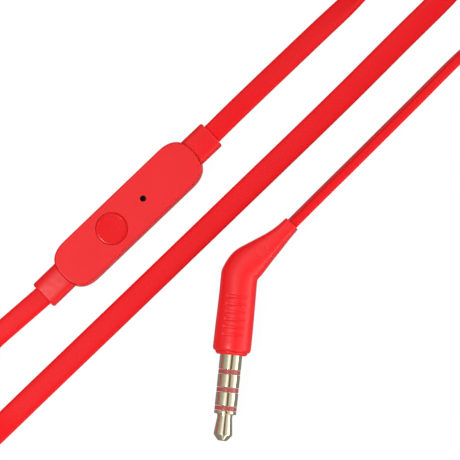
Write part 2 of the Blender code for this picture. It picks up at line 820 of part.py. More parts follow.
def make_tie(name, spec, section, top, angle, mats):
    """A strap round a ring of stored cable, square to its turns."""
    outer, inner = ring_extent(spec, section)
    width, middle = outer - inner + 2 * GAP, (outer + inner) / 2
    height = top + GAP - TIE_THICKNESS
    outside = (width + 2 * TIE_THICKNESS, TIE_WIDTH, height + 2 * TIE_THICKNESS)
    frame = empty(name + "_frame", (*spec["centre"], 0.0), angle)
    strap = add(name, box_mesh(name, outside, (middle, 0, outside[2] / 2)), mats["black"], frame)
    inside = (width, TIE_WIDTH + 1.0, height)
    hole = box_mesh(name + "_hole", inside, (middle, 0, TIE_THICKNESS + height / 2))
    cut(strap, cutter(hole, frame))


def make_cables(mats):
    main_top = RING_BASE + 2 * MAIN_CABLE[0] + 0.1
    left_top = RING_BASE + BRANCH_CABLE[0] + 0.1
    make_cable("main_cable", MAIN_ROUTE, MAIN_CABLE, mats)
    make_cable("main_cable_tail", MAIN_TAIL, MAIN_CABLE, mats, 4.0)
    make_cable("right_cable_lower", RIGHT_LOWER, BRANCH_CABLE, mats)
    make_cable("right_cable_upper", RIGHT_UPPER, BRANCH_CABLE, mats)
    make_cable("left_cable", LEFT_RUN, BRANCH_CABLE, mats, 3.0)
    make_cable("left_cable_tail", LEFT_TAIL, BRANCH_CABLE, mats, 3.0)
    make_ring("main_cable_ring", MAIN_RING, MAIN_CABLE, main_top, mats)
    make_ring("left_cable_ring", LEFT_RING, BRANCH_CABLE, left_top, mats)
    make_tie("main_cable_tie", MAIN_RING, MAIN_CABLE, main_top, 100.0, mats)
    make_tie("left_cable_tie", LEFT_RING, BRANCH_CABLE, left_top, 250.0, mats)


def main():
    clear_scene()
    mats = {
        "pod": material("red_plastic", RED, 0.5),
        "button": material("red_button", DARK_RED, 0.45),
        "plug": material("red_overmould", RED, 0.4),
        "insulator": material("insulator_plastic", DARK_RED, 0.4),
        "cable": material("red_cable_jacket", RED, 0.42),
        "cap": material("red_back_cap", DARK_RED, 0.35),
        "tip": material("silicone", BLACK, 0.5),
        "gold": material("plated_contact", GOLD, 0.25, 1.0),
        "steel": material("bright_steel", STEEL, 0.3, 1.0),
        "black": material("black_plastic", BLACK, 0.5),
        "board": material("circuit_board", GREEN, 0.4),
        "film": material("diaphragm_film", (0.6, 0.6, 0.62), 0.3),
    }
    make_remote(mats)
    make_plug(mats)
    make_splitter(mats)
    make_earbud("right", RIGHT_EARBUD, mats)
    make_earbud("left", LEFT_EARBUD, mats)
    make_cables(mats)


main()
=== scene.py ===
"""Wired earphones: the looks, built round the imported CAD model.

Lengths are millimetres in the row frame, and MM turns them into metres.
"""

import math

import bmesh
import bpy
from mathutils import Matrix, Vector


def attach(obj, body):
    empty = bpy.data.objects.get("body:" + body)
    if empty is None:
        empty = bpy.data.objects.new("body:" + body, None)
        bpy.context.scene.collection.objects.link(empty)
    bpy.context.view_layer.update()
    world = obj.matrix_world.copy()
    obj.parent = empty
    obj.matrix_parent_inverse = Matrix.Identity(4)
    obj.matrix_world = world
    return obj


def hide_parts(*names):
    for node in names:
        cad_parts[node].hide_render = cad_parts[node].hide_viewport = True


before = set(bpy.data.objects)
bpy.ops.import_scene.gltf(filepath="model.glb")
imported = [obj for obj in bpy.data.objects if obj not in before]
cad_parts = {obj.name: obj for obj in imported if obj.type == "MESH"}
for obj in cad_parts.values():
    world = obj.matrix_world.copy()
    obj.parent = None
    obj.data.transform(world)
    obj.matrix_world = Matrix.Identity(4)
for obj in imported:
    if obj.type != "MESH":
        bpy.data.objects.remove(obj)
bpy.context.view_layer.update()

MM = 0.001

# Camera ----------------------------------------------------------------------------------------------

VIEW_MIDDLE = Vector((15.98, -2.51, 2.5))
VIEW_WIDTH = 72.2
VIEW_TILT = 3.2  # degrees from straight above
TILT_TOWARDS = -45.6  # degrees, the side from which the camera looks
CAMERA_DISTANCE = 900.0
SENSOR = 36.0


def make_camera():
    tilt, towards = math.radians(VIEW_TILT), math.radians(TILT_TOWARDS)
    away = Vector(
        (math.sin(tilt) * math.cos(towards), math.sin(tilt) * math.sin(towards), math.cos(tilt))
    )
    data = bpy.data.cameras.new("camera")
    data.sensor_width = SENSOR
    data.lens = SENSOR * CAMERA_DISTANCE / VIEW_WIDTH
    data.clip_start, data.clip_end = 0.01, 20.0
    camera = bpy.data.objects.new("camera", data)
    right = Vector((0.0, 1.0, 0.0)).cross(away).normalized()
    up = away.cross(right)
    turn = Matrix((right, up, away)).transposed().to_4x4()
    camera.matrix_world = Matrix.Translation((VIEW_MIDDLE + away * CAMERA_DISTANCE) * MM) @ turn
    bpy.context.scene.collection.objects.link(camera)
    bpy.context.scene.camera = camera


make_camera()

# Mesh tools ------------------------------------------------------------------------------------------

SAME_POINT = 1e-5  # millimetres within which points are one point
TINY = 1e-6  # a radius or an edge below this counts as none


def millimetres(matrix):
    """A frame in millimetres as a matrix for meshes in metres."""
    placed = matrix.copy()
    placed.translation = placed.translation * MM
    return placed @ Matrix.Scale(MM, 4)


def piece(name, work, matrix, mat, angle=32.0):
    """A new object from a bmesh in millimetres, set down through a frame."""
    mesh = bpy.data.meshes.new(name)
    bmesh.ops.recalc_face_normals(work, faces=work.faces)
    work.to_mesh(mesh)
    work.free()
    mesh.transform(millimetres(matrix))
    mesh.shade_smooth()
    mesh.set_sharp_from_angle(angle=math.radians(angle))
    mesh.materials.append(mat)
    obj = bpy.data.objects.new(name, mesh)
    bpy.context.scene.collection.objects.link(obj)
    return obj


def loft(work, loops, caps=True):
    """Skins closed loops of points, each with the same count."""
    rings = [[work.verts.new(Vector(p)) for p in loop] for loop in loops]
    count = len(rings[0])
    for first, second in zip(rings, rings[1:]):
        for k in range(count):
            nxt = (k + 1) % count
            work.faces.new((first[k], first[nxt], second[nxt], second[k]))
    if caps:
        work.faces.new(rings[0][::-1])
        work.faces.new(rings[-1])


def rounded(points, steps=5):
    """A closed profile of (radius, height, fillet) corners as fine points, with the corners rounded."""
    fine = []
    for k, (x, y, fillet) in enumerate(points):
        here = Vector((x, y))
        before = Vector(points[k - 1][:2])
        after = Vector(points[(k + 1) % len(points)][:2])
        if fillet <= 0.0:
            fine.append(here)
            continue
        reach = min(fillet, 0.49 * (here - before).length, 0.49 * (after - here).length)
        start = here + (before - here).normalized() * reach
        end = here + (after - here).normalized() * reach
        for n in range(steps + 1):
            t = n / steps
            fine.append(start * (1 - t) ** 2 + here * 2 * t * (1 - t) + end * t * t)
    return fine


def lathe(name, profile, matrix, mat, steps=96):
    """A turned piece about its frame's Z from (radius, height, fillet) corners."""
    work = bmesh.new()
    fine = rounded(profile)
    columns = []
    for n in range(steps):
        around = 2 * math.pi * n / steps
        c, s = math.cos(around), math.sin(around)
        columns.append([work.verts.new((p.x * c, p.x * s, p.y)) for p in fine])
    for n in range(steps):
        first, second = columns[n], columns[(n + 1) % steps]
        for k in range(len(fine)):
            nxt = (k + 1) % len(fine)
            if fine[k].x > TINY or fine[nxt].x > TINY:
                work.faces.new((first[k], first[nxt], second[nxt], second[k]))
    bmesh.ops.remove_doubles(work, verts=work.verts, dist=SAME_POINT)
    bmesh.ops.dissolve_degenerate(work, edges=work.edges, dist=TINY)
    return piece(name, work, matrix, mat)


def pill(length, width, end, squareness, per_end=28):
    """A pill outline: straight sides and two superelliptic ends."""
    half, points = length / 2 - end, []
    for side, start in ((1, -90.0), (-1, 90.0)):
        for k in range(per_end + 1):
            angle = math.radians(start + 180.0 * k / per_end)
            c, s = math.cos(angle), math.sin(angle)
            x = side * half + math.copysign(end * abs(c) ** (2 / squareness), side)
            points.append((x, width / 2 * math.copysign(abs(s) ** (2 / squareness), s)))
    return points


def apply_cut(obj, work, matrix):
    """Cuts a shape, given as a bmesh in millimetres, out of a piece."""
    tool = piece("cutter", work, matrix, obj.data.materials[0])
    changed = obj.modifiers.new("cut", "BOOLEAN")
    changed.operation = "DIFFERENCE"
    changed.object = tool
    changed.solver = "EXACT"
    bpy.context.view_layer.update()
    graph = bpy.context.evaluated_depsgraph_get()
    mesh = bpy.data.meshes.new_from_object(obj.evaluated_get(graph))
    obj.modifiers.clear()
    obj.data = mesh
    bpy.data.objects.remove(tool, do_unlink=True)


def even_normals(obj):
    """Keeps flat faces flat in the shading where a cut has left long thin faces."""
    changed = obj.modifiers.new("even_normals", "WEIGHTED_NORMAL")
    changed.keep_sharp = True


def cylinder(radius, low, high, at=(0.0, 0.0), steps=64):
    work = bmesh.new()
    bmesh.ops.create_cone(
        work,
        cap_ends=True,
        segments=steps,
        radius1=radius,
        radius2=radius,
        depth=high - low,
        matrix=Matrix.Translation((at[0], at[1], (low + high) / 2)),
    )
    return work


def superellipse(half_width, half_height, squareness, sides=64):
    points = []
    for k in range(sides):
        angle = 2 * math.pi * k / sides
        c, s = math.cos(angle), math.sin(angle)
        points.append(
            (
                half_width * math.copysign(abs(c) ** (2 / squareness), c),
                half_height * math.copysign(abs(s) ** (2 / squareness), s),
            )
        )
    return points


def smooth_rows(rows, per_span):
    """Values on the smooth curve through rows of numbers."""
    rows = [Vector(r) for r in rows]
    rows = [2 * rows[0] - rows[1], *rows, 2 * rows[-1] - rows[-2]]
    fine = []
    for a, b, c, d in zip(rows, rows[1:], rows[2:], rows[3:]):
        for k in range(per_span):
            t = k / per_span
            fine.append(
                0.5
                * (
                    (2 * b)
                    + (c - a) * t
                    + (2 * a - 5 * b + 4 * c - d) * t * t
                    + (3 * b - a - 3 * c + d) * t * t * t
                )
            )
    fine.append(rows[-2])
    return fine


# Materials -------------------------------------------------------------------------------------------


class Nodes:
    """Short names for the nodes that the materials share."""

    def __init__(self, name):
        self.mat = bpy.data.materials.new(name)
        self.mat.use_nodes = True
        self.tree = self.mat.node_tree
        self.shader = self.tree.nodes["Principled BSDF"]
        self.place = self.tree.nodes.new("ShaderNodeTexCoord").outputs["Object"]

    def link(self, start, end):
        self.tree.links.new(start, end)

    def noise(self, scale, detail=2.0, roughness=0.5):
        node = self.tree.nodes.new("ShaderNodeTexNoise")
        node.inputs["Scale"].default_value = scale
        node.inputs["Detail"].default_value = detail
        node.inputs["Roughness"].default_value = roughness
        self.link(self.place, node.inputs["Vector"])
        return node.outputs["Fac"]

    def spread(self, value, low, high, start=0.3, end=0.7):
        node = self.tree.nodes.new("ShaderNodeMapRange")
        for name, number in (("From Min", start), ("From Max", end), ("To Min", low), ("To Max", high)):
            node.inputs[name].default_value = number
        self.link(value, node.inputs["Value"])
        return node.outputs["Result"]

    def mix(self, factor, first, second):
        node = self.tree.nodes.new("ShaderNodeMix")
        node.data_type = "RGBA"
        self.link(factor, node.inputs["Factor"])
        node.inputs["A"].default_value = (*first, 1.0)
        node.inputs["B"].default_value = (*second, 1.0)
        return node.outputs["Result"]

    def bump(self, height, strength, distance):
        node = self.tree.nodes.new("ShaderNodeBump")
        node.inputs["Strength"].default_value = strength
        node.inputs["Distance"].default_value = distance
        self.link(height, node.inputs["Height"])
        return node.outputs["Normal"]


GRAIN_HEIGHT = 0.00003
METAL_GRAIN_HEIGHT = 0.00002


def moulded(name, colour, shade, roughness, grain, depth, specular=0.5):
    """Moulded plastic or rubber: a fine grain, slow changes of shade, and uneven gloss."""
    n = Nodes(name)
    patches, uneven, fine_grain = n.noise(260.0, 3.0), n.noise(1500.0, 3.0), n.noise(grain, 2.0, 0.6)
    n.link(n.mix(n.spread(patches, 0.0, 1.0), colour, shade), n.shader.inputs["Base Color"])
    n.link(n.spread(uneven, roughness - 0.05, roughness + 0.05), n.shader.inputs["Roughness"])
    n.link(n.bump(fine_grain, depth, GRAIN_HEIGHT), n.shader.inputs["Normal"])
    n.shader.inputs["Specular IOR Level"].default_value = specular
    return n.mat


def metal(name, colour, shade, roughness):
    """Bright metal: slow changes of shade, faint wear in the gloss, and a very fine grain."""
    n = Nodes(name)
    patches, wear, fine_grain = n.noise(900.0, 2.0), n.noise(2500.0, 3.0), n.noise(9000.0, 2.0)
    n.link(n.mix(n.spread(patches, 0.0, 1.0), colour, shade), n.shader.inputs["Base Color"])
    n.shader.inputs["Metallic"].default_value = 1.0
    n.link(n.spread(wear, roughness - 0.04, roughness + 0.05), n.shader.inputs["Roughness"])
    n.link(n.bump(fine_grain, 0.05, METAL_GRAIN_HEIGHT), n.shader.inputs["Normal"])
    return n.mat


# Each has a colour, a second shade and a roughness. Plastics add the grain's scale and depth, and the
# specular level.
POD_RED = moulded("pod_red", (0.9, 0.008, 0.012), (0.88, 0.007, 0.011), 0.4, 9000.0, 0.35, 0.36)
SHELL_RED = moulded("shell_red", (0.9, 0.008, 0.012), (0.88, 0.007, 0.011), 0.2, 9000.0, 0.05, 0.75)
BUTTON_RED = moulded("button_red", (0.87, 0.006, 0.009), (0.85, 0.005, 0.008), 0.24, 9000.0, 0.3, 0.2)
MOULD_RED = moulded("mould_red", (0.99, 0.011, 0.015), (0.97, 0.01, 0.014), 0.36, 7000.0, 0.1, 0.45)
CABLE_RED = moulded("cable_red", (0.9, 0.007, 0.011), (0.88, 0.006, 0.01), 0.42, 5000.0, 0.04, 0.2)
CAP_RED = moulded("cap_red", (0.55, 0.012, 0.016), (0.5, 0.01, 0.014), 0.3, 9000.0, 0.2)
SILICONE = moulded("silicone", (0.035, 0.035, 0.038), (0.028, 0.028, 0.03), 0.45, 6000.0, 0.1, 0.4)
BLACK = moulded("black_plastic", (0.02, 0.02, 0.022), (0.015, 0.015, 0.016), 0.5, 8000.0, 0.3)
STRAP = moulded("strap_black", (0.03, 0.03, 0.033), (0.02, 0.02, 0.022), 0.7, 3500.0, 0.9)
BOARD = moulded("board_green", (0.02, 0.12, 0.05), (0.015, 0.1, 0.04), 0.35, 4000.0, 0.1)
FILM = moulded("film_grey", (0.45, 0.45, 0.47), (0.4, 0.4, 0.42), 0.25, 4000.0, 0.1)
GOLD = metal("contact_gold", (0.82, 0.73, 0.54), (0.79, 0.69, 0.48), 0.1)
INSULATOR = moulded("insulator_red", (0.5, 0.09, 0.08), (0.46, 0.08, 0.07), 0.22, 5000.0, 0.05, 0.6)
STEEL = metal("bright_steel", (0.6, 0.6, 0.62), (0.5, 0.5, 0.52), 0.3)

ROOT = "earphones"


def stand_for(obj, nodes, body=ROOT):
    """Attaches a piece to the body that it rides on, and hides the CAD nodes that it replaces."""
    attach(obj, body)
    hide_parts(*nodes)
    return obj


# Cables ----------------------------------------------------------------------------------------------

# Each cable's width and thickness.
MAIN_CABLE = (3.78, 1.6)
BRANCH_CABLE = (3.35, 1.4)
CABLE_SQUARENESS = 3.6
CABLE_SIDES = 28
RING_BASE = 0.75  # a stored ring's height over the table, with the tie below it
LAYER_GAP = 0.05
CLIMB = 70.0  # degrees in which the second layer rises over the first
MAIN_RING = {"centre": (-54.0, -34.1), "outer": 23.1, "inner": 18.9, "entry": -46.0, "turns": 1574 / 360}
LEFT_RING = {"centre": (-54.3, 22.0), "outer": 20.9, "inner": 17.5, "entry": 180.0, "turns": 1.95}

# Each route point is x, y, height of the middle, and roll: 0 lies flat, 90 stands on its edge.
MAIN_ROUTE = [
    (26.1, -1.2, 2.95, 78),
    (30.2, 2.9, 2.75, 78),
    (36.1, 8.75, 2.2, 78),
    (44.4, 17.0, 1.98, 78),
    (52.1, 24.65, 1.98, 80),
    (56.6, 28.3, 1.98, 88),
    (62.0, 31.2, 1.98, 90),
    (67.2, 35.6, 1.98, 90),
    (67.9, 41.6, 1.98, 90),
    (63.8, 45.9, 1.98, 90),
    (57.9, 43.6, 1.95, 82),
    (53.6, 38.6, 1.7, 50),
    (49.1, 33.7, 1.1, 14),
    (42.5, 27.2, 0.88, 4),
    (32.27, 17.03, 0.85, 0),
    (16.47, 1.78, 0.85, 0),
    (0.63, -13.48, 0.85, 0),
    (-14.1, -27.6, 0.85, 0),
    (-20.0, -33.3, 1.0, 8),
    (-25.2, -38.35, 1.9, 45),
    (-30.2, -43.15, 2.7, 90),
]
MAIN_TAIL = [
    (-77.3, -23.9, 5.9, 80),
    (-77.3, -20.0, 4.9, 60),
    (-77.2, -15.0, 3.4, 24),
    (-77.1, -10.5, 2.4, 4),
    (-77.1, -8.35, 2.3, 0),
]
RIGHT_LOWER = [
    (-79.0, 6.35, 2.3, 0),
    (-79.0, 9.5, 2.25, 8),
    (-79.0, 14.0, 1.9, 60),
    (-79.0, 19.0, 1.75, 90),
    (-77.9, 29.2, 1.75, 90),
    (-73.6, 37.5, 1.75, 90),
    (-66.6, 43.4, 1.75, 90),
    (-58.0, 46.3, 1.75, 90),
    (-49.0, 46.0, 1.75, 90),
    (-40.7, 42.3, 1.75, 90),
    (-34.0, 35.6, 1.75, 90),
    (-30.4, 27.2, 1.75, 90),
    (-30.0, 18.0, 1.75, 90),
    (-32.2, 8.0, 1.75, 90),
    (-35.2, -3.0, 1.75, 90),
    (-35.9, -10.5, 1.75, 90),
    (-34.6, -16.2, 1.75, 88),
    (-31.2, -20.9, 1.78, 72),
    (-26.9, -22.9, 1.85, 42),
    (-22.8, -20.9, 2.0, 12),
    (-20.0, -18.52, 2.15, 4),
    (-16.6, -15.59, 2.32, 2),
    (-13.58, -12.99, 2.45, 0),
]
RIGHT_UPPER = [
    (13.33, 12.76, 2.45, 0),
    (16.07, 15.5, 2.1, 4),
    (20.5, 19.85, 1.2, 8),
    (25.0, 24.15, 0.95, 10),
    (30.0, 28.9, 0.95, 12),
    (35.0, 33.6, 1.2, 25),
    (39.0, 37.9, 1.7, 62),
    (41.4, 43.4, 1.75, 88),
    (38.6, 50.2, 1.75, 90),
    (31.6, 53.0, 1.75, 90),
    (23.0, 50.6, 1.8, 90),
    (15.0, 47.6, 2.4, 80),
    (8.0, 46.7, 4.0, 45),
    (3.5, 47.2, 5.4, 14),
    (0.5, 46.85, 5.9, 0),
]
LEFT_RUN = [
    (-75.2, 6.35, 2.3, 0),
    (-75.2, 8.4, 2.35, 16),
    (-75.2, 10.4, 2.5, 62),
    (-75.2, 12.3, 2.6, 90),
]
LEFT_TAIL = [
    (-70.0, 28.0, 2.5, 90.0),
    (-62.2, 35.3, 2.6, 90),
    (-59.8, 36.3, 2.8, 90),
    (-56.3, 37.15, 3.4, 82),
    (-52.6, 36.1, 4.3, 64),
    (-49.7, 33.4, 5.2, 36),
    (-48.32, 31.2, 5.85, 8),
    (-48.3, 30.05, 5.95, 0),
]
ENTRY = 0.9  # how far a cable goes on into the piece that it enters
TURN_STEP = 20.0  # degrees between the points of a ring's turns


def ring_points(spec, section, layers):
    """Clockwise turns of a stored cable on its edge: one layer inwards and, with two, one out over it."""
    (cx, cy), pitch = spec["centre"], section[0] + LAYER_GAP
    floor = RING_BASE + section[0] / 2 + LAYER_GAP
    total = 360.0 * spec["turns"]
    count = round(total / TURN_STEP)
    points = []
    for k in range(count + 1):
        done = k / count
        if layers == 1:
            inward, level = done, 0.0
        else:
            inward = 1.0 - abs(2.0 * done - 1.0)
            level = min(1.0, max(0.0, (done - 0.5) * total / CLIMB + 0.5))
            level = level * level * (3.0 - 2.0 * level)
        radius = spec["outer"] + (spec["inner"] - spec["outer"]) * inward
        angle = math.radians(spec["entry"] - total * done)
        points.append(
            (cx + radius * math.cos(angle), cy + radius * math.sin(angle), floor + pitch * level, 90.0)
        )
    return points


def flat_cable(name, route, section, spacing=0.8):
    """A flat cable's mesh along a route, and the points that it follows in metres."""
    width, thickness = section
    fine = smooth_rows(route, per_span=24)
    line = [fine[0]]
    for p in fine[1:]:
        if (p.to_3d() - line[-1].to_3d()).length >= spacing:
            line.append(p)
    line[-1] = fine[-1]
    line.insert(0, line[0] + (line[0] - line[1]).normalized() * ENTRY)
    line.append(line[-1] + (line[-1] - line[-2]).normalized() * ENTRY)
    work = bmesh.new()
    outline = superellipse(width / 2, thickness / 2, CABLE_SQUARENESS, CABLE_SIDES)
    loops = []
    for k, point in enumerate(line):
        before, after = line[max(k - 1, 0)], line[min(k + 1, len(line) - 1)]
        ahead = after.to_3d() - before.to_3d()
        ahead.normalize()
        side = Vector((0.0, 0.0, 1.0)).cross(ahead).normalized()
        up = ahead.cross(side)
        roll = math.radians(point.w)
        across = side * math.cos(roll) + up * math.sin(roll)
        through = ahead.cross(across)
        loops.append([point.to_3d() + across * a + through * b for a, b in outline])
    loft(work, loops)
    obj = piece(name, work, Matrix(), CABLE_RED, angle=50.0)
    return obj, [p.to_3d() * MM for p in line]


def make_cables():
    """The four cords; each path runs from where the cord leaves its exit."""
    cords = {}
    main_route = [*MAIN_ROUTE, *ring_points(MAIN_RING, MAIN_CABLE, 2), *MAIN_TAIL][::-1]
    left_route = [*LEFT_RUN, *ring_points(LEFT_RING, BRANCH_CABLE, 1), *LEFT_TAIL][::-1]
    main_nodes = ("main_cable", "main_cable_ring", "main_cable_tail")
    left_nodes = ("left_cable", "left_cable_ring", "left_cable_tail")
    for name, route, section, nodes in (
        ("main_cord", main_route, MAIN_CABLE, main_nodes),
        ("left_cord", left_route, BRANCH_CABLE, left_nodes),
        ("right_lower_cord", RIGHT_LOWER, BRANCH_CABLE, ("right_cable_lower",)),
        ("right_upper_cord", RIGHT_UPPER[::-1], BRANCH_CABLE, ("right_cable_upper",)),
    ):
        obj, path = flat_cable(name, route, section)
        stand_for(obj, nodes)
        cords[name] = (obj, path, section[0] * MM)
    return cords


CORDS = make_cables()

# Remote ----------------------------------------------------------------------------------------------

REMOTE = Matrix.Rotation(math.radians(43.75), 4, "Z")
POD_LENGTH, POD_WIDTH, POD_HEIGHT = 28.6, 7.9, 5.0
POD_END, POD_SQUARENESS = 4.2, 2.5
POD_SEAM, SEAM_GAP, COVER_INSET, POD_WALL = 2.7, 0.1, 0.2, 0.8
END_SHRINK = 0.6  # how much shorter the round ends get for each millimetre of inset
COVER_EDGE, SHELL_EDGE, SHELL_RIM = 0.25, 0.45, 0.3  # the roundings: cover, shell below, shell's rim
COVER_EASE, SHELL_EASE = 0.03, 0.05  # the fine bevels beside them
COLLAR_WIDTH, COLLAR_HEIGHT, COLLAR_MIDDLE = 4.78, 3.6, 2.45
COLLAR_SLOPE = 0.09  # the upper side's fall, as a share of the distance outwards
COLLAR_ENDS = {"upper": (0.0, 18.15), "lower": (180.0, 18.5)}  # heading and the outer end's distance
COLLAR_SQUARENESS, COLLAR_EDGE, COLLAR_SIDES = 3.8, 0.32, 72
NECK_HALVES, NECK_SQUARENESS, NECK_REACH = (1.65, 0.95), 4.0, 1.6
BUTTON_AT, BUTTON_RADIUS, BUTTON_CLEARANCE = -3.43, 2.5, 0.06
MIC_AT, MIC_RADIUS = 3.39, 0.5
HOLE_SPAN = (3.0, 6.0)  # heights between which the cover's holes are cut


def pod_loop(inset, height):
    length, width, end = POD_LENGTH - 2 * inset, POD_WIDTH - 2 * inset, POD_END - END_SHRINK * inset
    return [(x, y, height) for x, y in pill(length, width, end, POD_SQUARENESS)]


def pod_end(across):
    """How far out the pod's round end reaches at a distance from its axis."""
    share = abs(across) / (POD_WIDTH / 2)
    return POD_LENGTH / 2 - POD_END * (1 - (1 - share**POD_SQUARENESS) ** (1 / POD_SQUARENESS))


def make_cover():
    """The front half of the pod, hollow, with holes for the button and the microphone."""
    work = bmesh.new()
    low = POD_SEAM + SEAM_GAP
    levels = [pod_loop(COVER_INSET + COVER_EASE, low), pod_loop(COVER_INSET, low + 0.05)]
    for k in range(7):
        a = math.radians(15.0 * k)
        inset, drop = COVER_EDGE * (1 - math.cos(a)), COVER_EDGE * (math.sin(a) - 1)
        levels.append(pod_loop(COVER_INSET + inset, POD_HEIGHT + drop))
    levels.append(pod_loop(COVER_INSET + COVER_EDGE + COVER_EASE, POD_HEIGHT))
    loft(work, levels)
    cover = piece("pod_cover", work, REMOTE, POD_RED)
    room, inset = bmesh.new(), POD_WALL + COVER_INSET
    loft(room, [pod_loop(inset, 0.0), pod_loop(inset, POD_HEIGHT - POD_WALL)])
    apply_cut(cover, room, REMOTE)
    button_hole = cylinder(BUTTON_RADIUS + BUTTON_CLEARANCE, *HOLE_SPAN, (BUTTON_AT, 0.0), steps=96)
    apply_cut(cover, button_hole, REMOTE)
    mic_hole = cylinder(MIC_RADIUS, *HOLE_SPAN, (MIC_AT, 0.0), steps=48)
    apply_cut(cover, mic_hole, REMOTE)
    even_normals(cover)
    stand_for(cover, ["remote_front_cover"])


def make_shell():
    """The back half of the pod, hollow, whose rim stands out a little beyond the cover."""
    work = bmesh.new()
    levels = [pod_loop(SHELL_EDGE + SHELL_EASE, 0.0)]
    for k in range(6):
        a = math.radians(90.0 - 18.0 * k)
        levels.append(pod_loop(SHELL_EDGE * (1 - math.cos(a)), SHELL_EDGE * (1 - math.sin(a))))
    for k in range(7):
        a = math.radians(15.0 * k)
        levels.append(pod_loop(SHELL_RIM * (1 - math.cos(a)), POD_SEAM - SHELL_RIM * (1 - math.sin(a))))
    loft(work, levels)
    shell = piece("pod_back", work, REMOTE, SHELL_RED)
    room, inset = bmesh.new(), POD_WALL + COVER_INSET
    loft(room, [pod_loop(inset, POD_WALL), pod_loop(inset, POD_HEIGHT)])
    apply_cut(shell, room, REMOTE)
    even_normals(shell)
    stand_for(shell, ["remote_back_shell"])


def make_button():
    """A disc with a low rim, a flange that keeps it in, and a foot that rests on the switch."""
    top, radius = POD_HEIGHT, BUTTON_RADIUS
    button = lathe(
        "pod_button",
        [
            (0.0, top - 0.03, 0.0),
            (radius - 0.38, top - 0.03, 0.05),
            (radius - 0.27, top + 0.04, 0.04),
            (radius - 0.03, top - 0.015, 0.03),
            (radius, top - 0.09, 0.03),
            (radius, 4.15, 0.0),
            (radius + 0.3, 4.1, 0.05),
            (radius + 0.3, 3.8, 0.05),
            (0.8, 3.75, 0.0),
            (0.8, 3.4, 0.1),
            (0.0, 3.4, 0.0),
        ],
        REMOTE @ Matrix.Translation((BUTTON_AT, 0.0, 0.0)),
        BUTTON_RED,
    )
    stand_for(button, ["remote_button"], "remote_button")


def make_collar(name, turn, end, node):
    """A strain-relief block that follows the pod's round end, with a neck in through the wall."""

    def inner_end(a, b):
        """Against the back shell below the seam, and against the narrower cover above it."""
        rise = min(1.0, max(0.0, (b + COLLAR_MIDDLE - POD_SEAM - 0.05) / 0.25))
        return pod_end(a) + 0.05 - rise * COVER_INSET

    def place(x, a, b):
        """The block's upper side slopes down towards its outer end."""
        drop = COLLAR_SLOPE * (x - POD_LENGTH / 2) * (b / COLLAR_HEIGHT + 0.5)
        return (x, a, b + COLLAR_MIDDLE - drop)

    work = bmesh.new()
    half_width, half_height = COLLAR_WIDTH / 2, COLLAR_HEIGHT / 2
    ring = superellipse(half_width, half_height, COLLAR_SQUARENESS, COLLAR_SIDES)
    loops = [[place(inner_end(a, b), a, b) for a, b in ring]]
    for k in range(7):
        turned = math.radians(15.0 * k)
        shrink = COLLAR_EDGE * (1 - math.cos(turned))
        out = end - COLLAR_EDGE * (1 - math.sin(turned))
        face = superellipse(half_width - shrink, half_height - shrink, COLLAR_SQUARENESS, COLLAR_SIDES)
        loops.append([place(out, a, b) for a, b in face])
    neck = superellipse(*NECK_HALVES, NECK_SQUARENESS, COLLAR_SIDES)
    start = POD_LENGTH / 2
    for x in (start + 0.04, start - NECK_REACH):
        loops.insert(0, [(x, a, b + COLLAR_MIDDLE) for a, b in neck])
    loft(work, loops)
    obj = piece(name, work, REMOTE @ Matrix.Rotation(math.radians(turn), 4, "Z"), POD_RED)
    stand_for(obj, [node])


make_cover()
make_shell()
make_button()
for name, (turn, end) in COLLAR_ENDS.items():
    make_collar("pod_collar_" + name, turn, end, "remote_collar_" + name)

# Plug ------------------------------------------------------------------------------------------------

PLUG_HEIGHT = 3.02
BARREL_HEADING = 84.0
ROUND = 2.0  # the squareness of a circle
# The barrel's rounded end: distance from the plug's frame and radius.
BARREL_END = [(0.35, 2.58), (0.4, 2.72), (0.51, 2.86), (0.69, 2.95), (0.95, 3.0), (1.7, 3.0)]
# The angled housing's sections: place, heading in degrees, half width, half height, squareness.
PLUG_SECTIONS = [
    (16.4, -20.2, 84.0, 3.0, 3.0, 2.0),
    (16.65, -17.8, 84.0, 2.98, 2.98, 2.05),
    (16.98, -14.7, 84.0, 2.93, 2.93, 2.05),
    (17.25, -12.0, 84.0, 2.89, 2.90, 2.1),
    (17.4, -10.4, 80.5, 2.89, 2.88, 2.15),
    (17.66, -9.3, 72.0, 2.92, 2.86, 2.2),
    (18.99, -7.54, 55.0, 2.85, 2.80, 2.4),
    (21.07, -5.81, 47.0, 2.24, 2.76, 2.8),
    (22.83, -4.38, 45.0, 1.75, 2.70, 3.2),
    (24.26, -3.06, 45.0, 1.42, 2.62, 3.6),
    (25.6, -1.7, 45.0, 1.27, 2.52, 4.0),
]
# The rounding of the housing's far end: distance beyond the last section, and shrink.
NECK_END = [(0.1, 0.02), (0.17, 0.07), (0.2, 0.14)]
DIAGONAL = 0.707  # the share of a step at 45 degrees that goes along each axis
PLUG_AXIS = math.radians(-6.0)
PLUG_END = (16.2, -22.0)
PLUG = Matrix.Translation((*PLUG_END, PLUG_HEIGHT)) @ Matrix.Rotation(PLUG_AXIS, 4, "Z")
PLUG = PLUG @ Matrix.Rotation(math.pi / 2, 4, "X")
CONTACT_RADIUS, CORE_RADIUS = 1.75, 0.75
INSULATOR_INSET = 0.02
SOCKET_RADIUS, SOCKET_SPAN = 2.05, (-9.0, 1.0)  # the bore in the housing that holds the contacts

